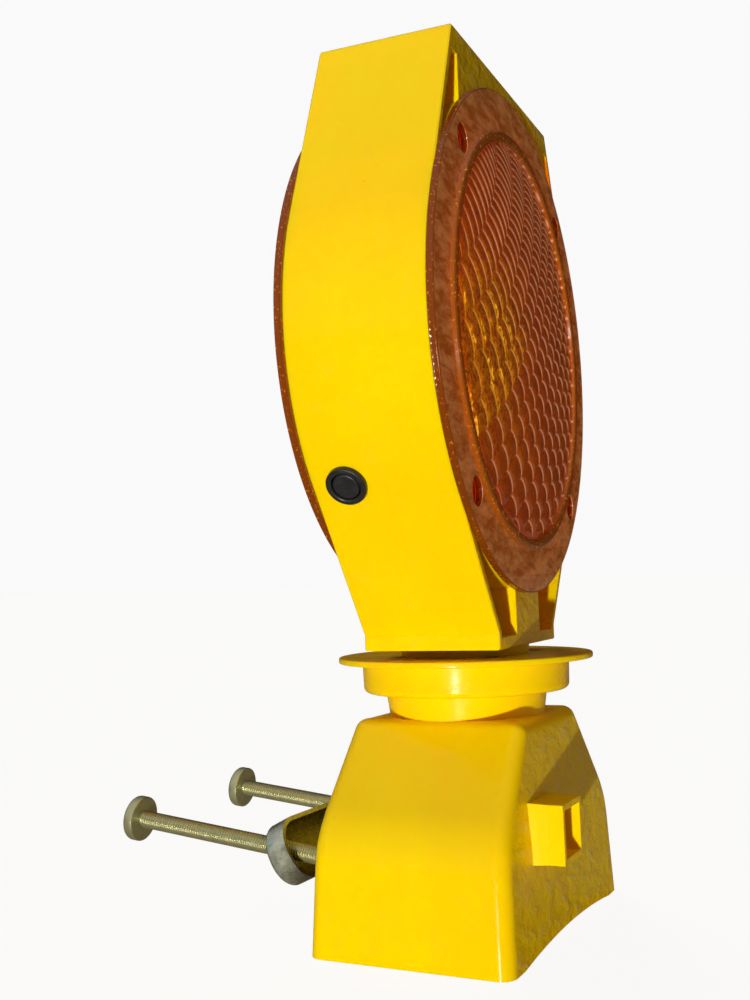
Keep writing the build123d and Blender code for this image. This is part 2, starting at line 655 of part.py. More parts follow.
def head_nodes():
    """The pieces that turn with the head, drawn square to the base."""
    return {
        "swivel_spigot": swivel_spigot(),
        "swivel_washer": swivel_washer(),
        "swivel_nut": swivel_nut(),
        "head_housing": head_housing(),
        "front_lens": FRONT * lens(),
        "rear_lens": REAR * lens(),
        "front_lens_gasket": FRONT * lens_gasket(),
        "rear_lens_gasket": REAR * lens_gasket(),
        "front_lens_screws": group(FRONT * screw for screw in lens_screws()),
        "rear_lens_screws": group(REAR * screw for screw in lens_screws()),
        "circuit_board": circuit_board(),
        "board_parts": group(board_parts()),
        "board_screws": group(board_screws()),
        "led_lamps": group(led_lamps()),
        "lamp_leads": group(lamp_leads()),
        "switch_leads": group(switch_leads()),
        "switch_bezel": switch_bezel(),
        "switch_nut": switch_nut(),
        "switch_body": switch_body(),
        "switch_button": switch_button(),
    }


def nodes():
    turned_head = {name: Rot(0, 0, HEAD_TURN) * shape for name, shape in head_nodes().items()}
    return base_nodes() | turned_head


os.makedirs("parts", exist_ok=True)
for name, shape in nodes().items():
    export_step(shape, f"parts/{name}.step")
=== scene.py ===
import json
from math import atan2, cos, pi, radians, sin

import bpy
import numpy as np
from mathutils import Matrix, Vector
from mathutils.geometry import delaunay_2d_cdt

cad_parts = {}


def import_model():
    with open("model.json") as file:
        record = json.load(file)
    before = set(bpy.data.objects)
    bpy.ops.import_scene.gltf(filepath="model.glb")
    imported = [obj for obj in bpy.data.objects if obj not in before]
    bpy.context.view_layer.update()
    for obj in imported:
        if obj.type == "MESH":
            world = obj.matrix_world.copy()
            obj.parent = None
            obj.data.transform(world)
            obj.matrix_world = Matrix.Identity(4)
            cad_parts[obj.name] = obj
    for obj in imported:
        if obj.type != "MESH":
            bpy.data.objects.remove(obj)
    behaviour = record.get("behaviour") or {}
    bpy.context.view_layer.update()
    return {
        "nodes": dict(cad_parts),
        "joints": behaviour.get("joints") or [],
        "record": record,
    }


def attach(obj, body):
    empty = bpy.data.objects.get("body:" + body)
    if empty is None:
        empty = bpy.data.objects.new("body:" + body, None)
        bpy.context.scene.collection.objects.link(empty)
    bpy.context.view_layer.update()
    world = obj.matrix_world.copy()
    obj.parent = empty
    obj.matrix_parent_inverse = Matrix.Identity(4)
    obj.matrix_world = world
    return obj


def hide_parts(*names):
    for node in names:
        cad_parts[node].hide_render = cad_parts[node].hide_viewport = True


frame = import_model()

# Looks of a barricade warning light: amber lenses with moulded optics, threaded clamp bolts,
# glossy yellow mouldings, rubber button and zinc-plated steel. Metres, in the CAD's own frame.

MM = 0.001
BUTTON_AXIS = next(j for j in frame["joints"] if j["name"] == "button_press")["axis"]
HEAD_TURN = atan2(BUTTON_AXIS[1], BUTTON_AXIS[0])      # the head's turn on its base, at rest

# ---- sizes of the Blender-made pieces, in millimetres --------------------------------------

FLANGE_THICK = 2.5
BACK_GAP = 0.05                 # between the housing's face and the lens
RING_IN, RING_OUT, RING_RISE = 71.0, 75.2, 1.5
CROWN = 2.4                     # rise of the optic's middle over the flange, under its scales
SCALE_RISE = 0.5
SCREW_CIRCLE = 81.0
HOLE_R, CUP_R, CUP_DEPTH = 4.85, 5.8, 5.05
SCREW_BORE = 2.0
RIM_RIB = 0.12                  # fine ribs round the lens rim
RING_STEP = 0.42                # between rings of points on the optic
TURN = 1152                     # points round a lens
HOLE_TURN = 48

COLUMN_LEAN = 47.0              # degrees; the columns of scales climb to the right
COLUMN_BEND = 180.0             # radius that the columns follow
COLUMN_WIDE, WIDER_LEFT, NARROWER_RIGHT = 10.4, 0.12, 0.047   # width, and its change per mm
SCALE_PITCH, PITCH_DROP = 7.0, 0.070                          # along a column, less towards the top
SCALE_OVERLAP = 1.2             # a scale's width as a share of its column's
SCALE_ARCH = 0.40               # rise of a scale's rim as a share of its column's width
SCALE_SKEW = 0.20

# third value of a lens point's "optic" attribute; from 0 to 1 it is a scale's chance
FLANGE_KIND, RING_KIND, RIM_KIND, CUP_KIND = 0, 2, 3, -1

THREAD_PITCH, THREAD_ROOT, THREAD_CREST = 1.0, 2.62, 3.06
SHANK_OUT, SHANK_IN = 82.5, 12.0
BOLT_HEAD_R, BOLT_HEAD_THICK = 7.9, 4.5
SOCKET_FLAT, SOCKET_DEPTH = 2.5, 2.6


# ---- meshes -----------------------------------------------------------------------------

class Shell:
    """Vertices and faces of one closed surface, built from rings of points."""

    def __init__(self):
        self.points = []
        self.faces = []

    def add(self, points):
        first = len(self.points)
        self.points.extend(points)
        return list(range(first, len(self.points)))

    def circle(self, radius, height, count=TURN, centre=(0.0, 0.0)):
        """A ring of points; radius and height may also be arrays with a value for each point."""
        angle = np.arange(count) * 2 * pi / count
        x = centre[0] + radius * np.cos(angle)
        y = centre[1] + radius * np.sin(angle)
        z = np.full(count, 0.0) + height
        return self.add(list(zip(x, y, z)))

    def bridge(self, a, b):
        count = len(a)
        for i in range(count):
            j = (i + 1) % count
            self.faces.append((a[i], a[j], b[j], b[i]))

    def stack(self, rings):
        for a, b in zip(rings, rings[1:]):
            self.bridge(a, b)

    def narrow(self, outer, inner):
        """Faces between two rings, where the inner one may have half as many points."""
        if len(outer) == len(inner):
            self.bridge(outer, inner)
            return
        count = len(inner)
        for i in range(count):
            a, b, c = outer[2 * i], outer[2 * i + 1], outer[(2 * i + 2) % len(outer)]
            self.faces += [(a, b, inner[i]), (b, c, inner[(i + 1) % count], inner[i])]

    def fan(self, ring, point, flip=False):
        tip = self.add([point])[0]
        count = len(ring)
        for i in range(count):
            j = (i + 1) % count
            self.faces.append((ring[j], ring[i], tip) if flip else (ring[i], ring[j], tip))

    def plate(self, outer, inner, holes, up):
        """Flat faces between an outer and an inner ring, leaving round holes open."""
        loops = [outer, inner] + holes
        index = [i for loop in loops for i in loop]
        flat = [Vector(self.points[i][:2]) for i in index]
        edges, first = [], 0
        for loop in loops:
            count = len(loop)
            edges += [(first + i, first + (i + 1) % count) for i in range(count)]
            first += count
        made = delaunay_2d_cdt(flat, edges, [], 0, 1e-6)
        spots, triangles, sources = made[0], made[2], made[3]
        outer_r = Vector(self.points[outer[0]][:2]).length
        inner_r = Vector(self.points[inner[0]][:2]).length
        rounds = []
        for loop in holes:
            ring = [Vector(self.points[i][:2]) for i in loop]
            centre = sum(ring, Vector((0, 0))) / len(ring)
            rounds.append((centre, (ring[0] - centre).length))
        for triangle in triangles:
            middle = sum((spots[i] for i in triangle), Vector((0, 0))) / 3
            if not inner_r * 0.999 < middle.length < outer_r:
                continue
            if any((middle - centre).length < radius for centre, radius in rounds):
                continue
            corners = tuple(index[sources[i][0]] for i in triangle)
            self.faces.append(corners if up else corners[::-1])

    def build(self, name, place, smooth_angle=32.0):
        """The object, moved into the frame by place, a matrix from local millimetres to metres."""
        mesh = bpy.data.meshes.new(name)
        mesh.from_pydata([place @ Vector(p) for p in self.points], [], self.faces)
        mesh.validate()
        mesh.update()
        made = bpy.data.objects.new(name, mesh)
        bpy.context.scene.collection.objects.link(made)
        bpy.context.view_layer.objects.active = made
        made.select_set(True)
        bpy.ops.object.mode_set(mode="EDIT")
        bpy.ops.mesh.select_all(action="SELECT")
        bpy.ops.mesh.normals_make_consistent(inside=False)
        bpy.ops.object.mode_set(mode="OBJECT")
        bpy.ops.object.shade_smooth_by_angle(angle=radians(smooth_angle))
        made.select_set(False)
        return made


def turned_box(node):
    """A head node's lowest and highest corners along the head's own directions."""
    back = Matrix.Rotation(-HEAD_TURN, 3, "Z")
    points = [back @ vertex.co for vertex in frame["nodes"][node].data.vertices]
    return (Vector([min(p[i] for p in points) for i in range(3)]),
            Vector([max(p[i] for p in points) for i in range(3)]))


def smoothstep(x):
    x = np.clip(x, 0.0, 1.0)
    return x * x * (3 - 2 * x)


def column_place(x, y):
    """Columns counted to the right and scales counted along them, with the sizes of one scale."""
    lean = radians(COLUMN_LEAN)
    middle_x, middle_y = -COLUMN_BEND * sin(lean), COLUMN_BEND * cos(lean)
    across = np.hypot(x - middle_x, y - middle_y) - COLUMN_BEND
    across = across + 0.012 * np.maximum(0, y - 48) ** 2        # upright near the top
    along = COLUMN_BEND * (np.arctan2(y - middle_y, x - middle_x) - (lean - pi / 2))
    change = np.where(across < 0, WIDER_LEFT, NARROWER_RIGHT)
    column = -np.log(1 - change * across / COLUMN_WIDE) / change + 0.5
    row = -np.log(1 - PITCH_DROP * along / SCALE_PITCH) / PITCH_DROP
    return column, row, COLUMN_WIDE - change * across, SCALE_PITCH - PITCH_DROP * along


def optic_marks(x, y, rim, wall, column, chance):
    """For the material: nearness to a scale's edge, painted light coming through at a fixed place of the
    lens, and each scale's chance.
    """
    line = np.maximum(0.5 * np.exp(-(rim / 0.26) ** 2), np.exp(-(wall / 0.38) ** 2))
    # painted light: a glow on the lens's left and lower part, brighter in crescents on chosen scales; it
    # does not follow the lamps
    painted_light = np.where(column < 0.5, 1.0, 0.35) * smoothstep((24 - x) / 62) * smoothstep((y + 62) / 30)
    painted_light = painted_light * smoothstep((38 - y) / 46)
    crescent = np.exp(-((wall - 1.5) / 0.9) ** 2) * smoothstep((chance - 0.35) / 0.3)
    return np.stack([line, painted_light * (0.55 + 0.45 * crescent), 0.02 + 0.96 * chance], axis=-1)


def scales(x, y):
    """Height of the optic's scales over their dome, and what the material needs of each point.

    The scales overlap like a fish's: each falls to its arched rim, where the next one stands up."""
    column, row, wide, pitch = column_place(x, y)
    best = np.full(np.shape(x), np.inf)
    height, rim, wall, home = (np.zeros(np.shape(x)) for _ in range(4))
    for step in (0, -1, 1):
        middle = np.round(column) + step
        off = column - middle
        inside = 1 - (2 * off / SCALE_OVERLAP) ** 2
        arch = np.sqrt(np.maximum(inside, 0.0))
        place = row - SCALE_ARCH * wide / pitch * arch - SCALE_SKEW * off * wide / pitch
        level = np.ceil(place)
        depth = level - place
        slope = SCALE_SKEW - 4 * SCALE_ARCH * off / SCALE_OVERLAP**2 / np.maximum(arch, 0.12)
        chosen = (inside > 0) & (level < best - 1e-9)
        lift = 1.72 * depth * (1 - depth**5) * (1 - np.abs(2 * off / SCALE_OVERLAP) ** 3)
        reach = pitch / np.hypot(1, slope)
        best = np.where(chosen, level, best)
        height = np.where(chosen, lift, height)
        rim = np.where(chosen, depth * reach, rim)
        wall = np.where(chosen, (1 - depth) * reach, wall)
        home = np.where(chosen, middle, home)
    edge = smoothstep((RING_IN - 0.8 - np.hypot(x, y)) / 1.2)
    height = SCALE_RISE * np.clip(pitch / 6.0, 0.35, 1.0) * height * edge
    chance = np.sin(home * 12.9898 + best * 78.233) * 43758.5453
    return height, optic_marks(x, y, rim, wall, home, chance - np.floor(chance))


def lens(name, node, sign):
    """One moulded lens: optic dome with pillows, raised ring, flat flange and four screw cups."""
    low, high = turned_box(node)
    radius = (high.x - low.x) / 2 / MM
    centre_z = (high.z + low.z) / 2
    back = turned_box("head_housing")[1].y / MM + BACK_GAP
    face = back + FLANGE_THICK
    cup_floor = back - CUP_DEPTH
    dome_r = (RING_IN**2 + CROWN**2) / (2 * CROWN)
    shell = Shell()

    def dome(reach):
        return np.sqrt(dome_r**2 - reach**2) - (dome_r - CROWN)

    count = TURN
    optic = []
    marks = []
    for reach in np.arange(RING_IN, 0.9, -RING_STEP):
        if len(optic) and count > 72 and reach * TURN < RING_IN * count * 0.55:
            count //= 2
        angle = np.arange(count) * 2 * pi / count
        x, y = reach * np.cos(angle), reach * np.sin(angle)
        height, mark = scales(x, y)
        optic.append(shell.circle(reach, face + dome(reach) + height, count))
        marks.append(mark)
    for outer, inner in zip(optic, optic[1:]):
        shell.narrow(outer, inner)
    middle_height, mark = scales(np.zeros(1), np.zeros(1))
    shell.fan(optic[-1], (0.0, 0.0, face + CROWN + middle_height[0]))
    marks.append(mark)
    optic_count = len(shell.points)

    top = [optic[0]]
    ring = [(RING_IN + 0.25, 1.1), (RING_IN + 0.6, 1.4), (RING_IN + 1.1, 1.5), (RING_OUT - 1.1, 1.5),
            (RING_OUT - 0.6, 1.4), (RING_OUT - 0.25, 1.1), (RING_OUT, 0.25), (RING_OUT + 0.08, 0.0),
            (RING_OUT + 0.2, 0.0)]
    for reach, rise in ring:
        top.append(shell.circle(reach, face + rise * RING_RISE / 1.5))
    shell.stack(top)

    rim = [shell.circle(radius - 0.9, face), shell.circle(radius - 0.55, face)]
    for turn in (30, 60, 90):
        out = radius - 0.5 + 0.5 * sin(radians(turn))
        rim.append(shell.circle(out, face - 0.5 + 0.5 * cos(radians(turn))))
    rib = RIM_RIB * (np.arange(TURN) % 4 < 2)
    rim.append(shell.circle(radius - rib, face - 0.75))
    rim.append(shell.circle(radius - rib, back + 0.45))
    rim.append(shell.circle(radius, back + 0.3))
    rim.append(shell.circle(radius - 0.3, back))
    rim.append(shell.circle(radius - 0.9, back))
    shell.stack(rim)

    back_rings = [shell.circle(RING_IN + 2, back), shell.circle(RING_IN, back)]
    for reach in np.linspace(RING_IN - 3, 2.0, 14):
        back_rings.append(shell.circle(reach, back + dome(reach)))
    shell.stack(back_rings)
    shell.fan(back_rings[-1], (0.0, 0.0, back + CROWN))

    rim_count = len(shell.points)
    top_holes, back_holes = [], []
    for quarter in range(4):
        turn = radians(45 + 90 * quarter)
        centre = (SCREW_CIRCLE * cos(turn), SCREW_CIRCLE * sin(turn))
        profile = [(HOLE_R + 0.45, face), (HOLE_R + 0.25, face), (HOLE_R + 0.07, face - 0.1),
                   (HOLE_R, face - 0.35), (HOLE_R, cup_floor + 1.9), (HOLE_R - 0.4, cup_floor + 1.5),
                   (SCREW_BORE, cup_floor + 1.5), (SCREW_BORE, cup_floor), (CUP_R - 0.4, cup_floor),
                   (CUP_R, cup_floor + 0.4), (CUP_R, back - 0.3), (CUP_R + 0.3, back), (CUP_R + 0.6, back)]
        cup = [shell.circle(r, h, HOLE_TURN, centre) for r, h in profile]
        shell.stack(cup)
        top_holes.append(cup[0])
        back_holes.append(cup[-1])
    shell.plate(rim[0], top[-1], top_holes, up=True)
    shell.plate(rim[-1], back_rings[0], back_holes, up=False)

    upright = Matrix(((sign, 0, 0, 0), (0, 0, -sign, 0), (0, 1, 0, centre_z / MM), (0, 0, 0, 1)))
    place = Matrix.Diagonal((MM, MM, MM, 1)) @ Matrix.Rotation(HEAD_TURN, 4, "Z") @ upright
    made = shell.build(name, place)
    values = np.zeros((len(made.data.vertices), 3), np.float32)
    values[:optic_count] = np.concatenate(marks)
    values[optic_count:top[-2][0]] = (0, 0, RING_KIND)
    values[rim[2][0]:back_rings[0][0]] = (0, 0, RIM_KIND)
    values[rim_count:] = (0, 0, CUP_KIND)
    for cup in top_holes:
        values[cup[0]:cup[0] + 3 * HOLE_TURN] = (0, 0, FLANGE_KIND)
    made.data.attributes.new("optic", "FLOAT_VECTOR", "POINT").data.foreach_set("vector", values.ravel())
    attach(made, "head")
    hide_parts(node)
    return made


def thread_height(turn):
    """Share of the thread's depth at a place along the pitch: flat root, flank, flat crest, flank."""
    turn = turn - np.floor(turn)
    return np.clip(np.minimum(turn - 0.12, 0.88 - turn) / 0.32, 0.0, 1.0)


def bolt(name, node, side):
    """Fully threaded bolt with a low round head and a hex socket."""
    mount = next(m for m in frame["record"]["mounts"] if m["name"] == "rail_clamp")
    axis = Vector(mount["axis"]).normalized()
    start = Vector(mount["pos_m"]) + Vector((side * mount["dims"]["spacing_x_mm"] * MM / 2, 0, 0))
    shell = Shell()
    count = 40
    angle = np.arange(count) / count
    rings = []
    for z in np.arange(-SHANK_IN, SHANK_OUT - 0.05, THREAD_PITCH / 8):
        taper = min(1.0, (z + SHANK_IN) / 1.2, (SHANK_OUT - z) / 0.8)
        depth = (THREAD_CREST - THREAD_ROOT) * thread_height(z / THREAD_PITCH - angle)
        tip = 0.55 * (1 - min(1.0, (z + SHANK_IN) / 0.8))
        rings.append(shell.circle(THREAD_ROOT - tip + depth * max(0.0, taper), z, count))
    r, t = BOLT_HEAD_R, BOLT_HEAD_THICK
    head = [(THREAD_ROOT + 0.1, 0), (r - 0.9, 0), (r - 0.35, 0.05), (r - 0.08, 0.25), (r, 0.6),
            (r, t - 1.5), (r - 0.1, t - 1.1), (r - 0.4, t - 0.6), (r - 0.9, t - 0.2), (r - 1.5, t - 0.03),
            (r - 2.1, t), (SOCKET_FLAT + 1.2, t)]
    for out, rise in head:
        rings.append(shell.circle(out, SHANK_OUT + rise, count))
    turn = (angle * 2 * pi + pi / 6) % (pi / 3) - pi / 6
    hexagon = SOCKET_FLAT / np.cos(turn)
    for grow, drop in ((0.25, 0.0), (0.0, 0.25), (0.0, SOCKET_DEPTH)):
        rings.append(shell.circle(hexagon + grow, SHANK_OUT + t - drop, count))
    shell.stack(rings)
    shell.fan(rings[0], (0, 0, -SHANK_IN))
    shell.fan(rings[-1], (0, 0, SHANK_OUT + t - SOCKET_DEPTH - 0.6))
    turn_to = axis.to_track_quat("Z", "Y").to_matrix().to_4x4()
    made = shell.build(name, Matrix.Translation(start) @ turn_to @ Matrix.Diagonal((MM, MM, MM, 1)), 26)
    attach(made, node)
    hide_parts(node)
    return made


# ---- materials --------------------------------------------------------------------------

class Look:
    """A node material with helpers for layered noise, colour and bump."""

    def __init__(self, name, color, roughness, metallic=0.0, **inputs):
        self.material = bpy.data.materials.new(name)
        self.material.use_nodes = True
        self.tree = self.material.node_tree
        self.shader = self.tree.nodes["Principled BSDF"]
        self.output = self.tree.nodes["Material Output"]
        self.set(self.shader, {"Base Color": (*color, 1), "Roughness": roughness, "Metallic": metallic})
        self.set(self.shader, inputs)
        self.place = self.node("ShaderNodeTexCoord").outputs["Object"]
        self.bumped = None

    def set(self, node, values):
        for key, value in values.items():
            node.inputs[key].default_value = value

    def node(self, kind, **values):
        made = self.tree.nodes.new(kind)
        self.set(made, values)
        return made

    def link(self, source, target):
        self.tree.links.new(source, target)

    def stretch(self, scale):
        """Coordinates stretched by three factors."""
        mapping = self.node("ShaderNodeMapping")
        mapping.inputs["Scale"].default_value = scale
        self.link(self.place, mapping.inputs["Vector"])
        return mapping.outputs["Vector"]

    def noise(self, size_mm, detail=3.0, roughness=0.5, distortion=0.0, place=None):
        """Noise between 0 and 1 whose blobs are about size_mm across."""
        made = self.node("ShaderNodeTexNoise", Scale=1 / (size_mm * MM), Detail=detail,
                         Roughness=roughness, Distortion=distortion)
        self.link(place or self.place, made.inputs["Vector"])
        return made.outputs["Fac"]

    def voronoi(self, size_mm, feature="F1", place=None):
        made = self.node("ShaderNodeTexVoronoi", Scale=1 / (size_mm * MM))
        made.feature = feature
        self.link(place or self.place, made.inputs["Vector"])
        return made.outputs["Distance"]

    def remap(self, value, low, high, to_low=0.0, to_high=1.0):
        made = self.node("ShaderNodeMapRange")
        self.link(value, made.inputs["Value"])
        for key, number in zip(("From Min", "From Max", "To Min", "To Max"), (low, high, to_low, to_high)):
            made.inputs[key].default_value = number
        return made.outputs["Result"]

    def maths(self, kind, a, b):
        made = self.node("ShaderNodeMath")
        made.operation = kind
        for socket, value in zip(made.inputs, (a, b)):
            if isinstance(value, (int, float)):
                socket.default_value = value
            else:
                self.link(value, socket)
        return made.outputs[0]

    def parts(self, vector):
        """The three numbers of a vector."""
        split = self.node("ShaderNodeSeparateXYZ")
        self.link(vector, split.inputs[0])
        return split.outputs

    def blend(self, share, a, b):
        """Shader between a and b."""
        made = self.node("ShaderNodeMixShader")
        for socket, source in zip(made.inputs, (share, a, b)):
            self.link(source, socket)
        return made.outputs[0]

    def mix(self, share, a, b, kind="MIX"):
        """Colour between a and b; each may be a colour or a socket."""
        made = self.node("ShaderNodeMix")
        made.data_type, made.blend_type = "RGBA", kind
        sockets = {"Factor": made.inputs[0], "A": made.inputs[6], "B": made.inputs[7]}
        for socket, value in (("Factor", share), ("A", a), ("B", b)):
            if isinstance(value, tuple):
                sockets[socket].default_value = (*value, 1)
            elif isinstance(value, (int, float)):
                sockets[socket].default_value = value
            else:
                self.link(value, sockets[socket])
        return made.outputs[2]

    def color(self, socket):
        self.link(socket, self.shader.inputs["Base Color"])
        return self

    def rough(self, socket):
        self.link(socket, self.shader.inputs["Roughness"])
        return self

    def bump(self, height, depth_mm, strength=1.0):
        """Adds relief depth_mm deep where height goes from 0 to 1."""
        made = self.node("ShaderNodeBump", Distance=depth_mm * MM)
        if isinstance(strength, float):
            made.inputs["Strength"].default_value = strength
        else:
            self.link(strength, made.inputs["Strength"])
        self.link(height, made.inputs["Height"])
        if self.bumped:
            self.link(self.bumped, made.inputs["Normal"])
        self.bumped = made.outputs["Normal"]
        self.link(self.bumped, self.shader.inputs["Normal"])
        if not self.shader.inputs["Coat Normal"].is_linked:
            self.link(self.bumped, self.shader.inputs["Coat Normal"])
        return self


def yellow_plastic():
    """Glossy plastic that lets some light through, pebbled on its flat faces, with painted sheen patches
    there and painted shade on the head's flat faces.
    """
    look = Look("yellow_plastic", (0.95, 0.60, 0.0), 0.2, **{
        "IOR": 1.46, "Specular IOR Level": 0.18, "Subsurface Weight": 0.5, "Subsurface Scale": 0.005})
    look.shader.inputs["Subsurface Radius"].default_value = (1.0, 0.42, 0.02)
    flow = look.noise(60, 2, 0.5, 0.8, look.stretch((1.0, 1.0, 0.35)))
    deep = look.mix(look.remap(flow, 0.35, 0.7), (0.94, 0.585, 0.0), (0.97, 0.64, 0.0))
    cloud = look.remap(look.noise(9, 4, 0.6), 0.35, 0.75, 0.0, 0.22)
    deep = look.mix(cloud, deep, (0.92, 0.55, 0.0))
    speck = look.remap(look.voronoi(7.0), 0.035, 0.05, 1.0, 0.0)
    rare = look.remap(look.noise(16, 0), 0.60, 0.64)
    deep = look.mix(look.maths("MULTIPLY", look.maths("MULTIPLY", speck, rare), 0.55), deep,
                    (0.30, 0.16, 0.01))
    facing = look.parts(look.node("ShaderNodeNewGeometry").outputs["Normal"])
    flat = look.remap(look.maths("ABSOLUTE", facing["Y"], 0), 0.965, 0.992, 0.05, 1.0)
    # painted shade: the head's front and back faces are darker than the base's
    head_face_shade = look.maths("MULTIPLY", look.remap(look.parts(look.place)["Z"], 0.10, 0.12, 0.0, 0.6), flat)
    deep = look.mix(head_face_shade, deep, (0.50, 0.33, 0.0))
    pebble = look.noise(5.0, 4, 0.6, 0.4, look.stretch((0.55, 1.0, 1.0)))
    # painted sheen: paler patches on the flat faces stand for reflections on the pebbling
    painted_sheen = look.maths("MULTIPLY", look.remap(pebble, 0.54, 0.68, 0.0, 0.40), flat)
    look.color(look.mix(painted_sheen, deep, (0.86, 0.63, 0.20)))
    look.rough(look.remap(look.noise(14, 5, 0.65), 0.3, 0.7, 0.10, 0.20))
    look.bump(look.noise(26, 2, 0.5), 0.30, 0.32)
    look.bump(pebble, 0.95, flat)
    look.bump(look.noise(0.55, 1, 0.5), 0.004, 0.25)
    scratch = look.remap(look.noise(1.1, 2, 0.5, 0.2, look.stretch((0.25, 1.0, 7.0))), 0.68, 0.72)
    look.bump(look.maths("MULTIPLY", scratch, look.remap(look.noise(24, 1), 0.52, 0.6)), -0.006, 0.4)
    return look.material


def amber_lens():
    """Amber moulding: tinted glass over a deep body colour, paler on the scales' rims, with painted light,
    glints and glow on its optic and painted shade in its screw cups.
    """
    look = Look("amber_lens", (0.92, 0.30, 0.035), 0.06, **{"IOR": 1.49, "Transmission Weight": 1.0})
    look.bump(look.noise(5.5, 3, 0.55, 0.6), 0.10, 0.30)
    look.bump(look.noise(0.9, 2, 0.5), 0.012, 0.25)
    tint = look.mix(look.remap(look.noise(30, 2), 0.35, 0.7), (0.90, 0.27, 0.03), (0.96, 0.38, 0.05))
    look.color(tint)

    mark = look.node("ShaderNodeAttribute")
    mark.attribute_name = "optic"
    line, painted_light, kind = look.parts(mark.outputs["Vector"])
    cup = look.maths("LESS_THAN", kind, (CUP_KIND + FLANGE_KIND) / 2)
    on_optic = look.remap(kind, FLANGE_KIND, 0.01)
    ring = look.remap(kind, 1.0, RING_KIND)
    side = look.remap(kind, RING_KIND, RIM_KIND)
    streak_and_reflection = look.noise(3.6, 4, 0.65, 0.3, look.stretch((0.36, 1.0, 1.0)))
    fleck = look.noise(2.2, 3, 0.6, 0.8)

    # the flange: streaky mottling of the moulding, whose pale patches are partly painted reflection
    face = look.mix(look.remap(streak_and_reflection, 0.38, 0.64), (0.48, 0.13, 0.012), (0.92, 0.38, 0.12))
    deep = look.mix(look.remap(fleck, 0.3, 0.7), (0.22, 0.030, 0.001), (0.38, 0.070, 0.003))
    deep = look.mix(look.remap(kind, 0.0, 1.0, 0.0, 0.40), deep, (0.55, 0.14, 0.005))
    # painted light: orange where light comes through the lens, with golden scale edges there
    painted_light_orange = look.mix(look.remap(fleck, 0.38, 0.62), (0.26, 0.065, 0.001), (0.80, 0.31, 0.002))
    optic = look.mix(look.remap(painted_light, 0.0, 0.62), deep, painted_light_orange)
    rim_tint = look.mix(look.remap(painted_light, 0.1, 0.6), (1.0, 0.50, 0.28), (1.0, 0.52, 0.03))
    optic = look.mix(line, optic, rim_tint)
    shade = look.mix(on_optic, face, optic)
    shade = look.mix(ring, shade, (0.26, 0.065, 0.004))
    shade = look.mix(side, shade, (0.17, 0.035, 0.002))
    # painted shade: the screw cups are darkened
    shade = look.mix(cup, shade, (0.07, 0.010, 0.002))
    body = look.node("ShaderNodeBsdfPrincipled", Roughness=0.14, IOR=1.49)
    body.inputs["Specular IOR Level"].default_value = 0.25
    look.link(shade, body.inputs["Base Color"])
    look.link(look.bumped, body.inputs["Normal"])

    # painted glints in the painted light and on the ring, and a weak painted glow over the whole lens:
    # emission on a part that is no lamp
    spark = look.remap(look.noise(3.0, 3, 0.6, 1.2, look.stretch((1.0, 1.0, 0.55))), 0.53, 0.62)
    painted_glint = look.maths("MULTIPLY", spark, look.remap(painted_light, 0.55, 0.95))
    painted_ring_glint = look.maths("MULTIPLY", look.remap(look.noise(0.9, 2, 0.6), 0.62, 0.72), ring)
    painted_shine = look.maths("ADD", painted_glint, look.maths("MULTIPLY", painted_ring_glint, 0.5))
    gold = look.mix(spark, (1.0, 0.30, 0.003), (1.0, 0.62, 0.03))
    look.link(look.mix(look.remap(painted_shine, 0.0, 0.15), shade, gold), body.inputs["Emission Color"])
    look.link(look.remap(painted_shine, 0.0, 1.0, 0.08, 1.2), body.inputs["Emission Strength"])

    share = look.remap(look.maths("MAXIMUM", line, ring), 0.0, 1.0, 0.70, 0.92)
    share = look.maths("MULTIPLY", share, look.remap(cup, 0.0, 1.0, 1.0, 0.85))
    mixed = look.blend(share, look.shader.outputs[0], body.outputs[0])
    clear = look.node("ShaderNodeBsdfTransparent", Color=(0.90, 0.46, 0.07, 1)).outputs[0]
    shadow_ray = look.node("ShaderNodeLightPath").outputs["Is Shadow Ray"]
    look.link(look.blend(shadow_ray, mixed, clear), look.output.inputs["Surface"])
    return look.material


def rubber(name, color, roughness, grain_mm=0.4):
    look = Look(name, color, roughness, **{"Specular IOR Level": 0.35})
    dust = look.remap(look.noise(2.5, 4, 0.65), 0.45, 0.8, 0.0, 0.5)
    look.color(look.mix(dust, color, tuple(min(1.0, c * 2.4 + 0.012) for c in color)))
    look.rough(look.remap(look.noise(3, 3), 0.3, 0.7, roughness - 0.1, roughness + 0.12))
    look.bump(look.noise(grain_mm, 3, 0.6), 0.02, 0.5)
    return look.material


def moulded(name, color, roughness):
    look = Look(name, color, roughness)
    shift = look.remap(look.noise(12, 3), 0.3, 0.7)
    look.color(look.mix(shift, tuple(c * 0.86 for c in color), tuple(min(1, c * 1.1) for c in color)))
    look.rough(look.remap(look.noise(6, 3), 0.3, 0.7, roughness - 0.06, roughness + 0.08))
    look.bump(look.noise(0.5, 2, 0.5), 0.012, 0.4)
    return look.material


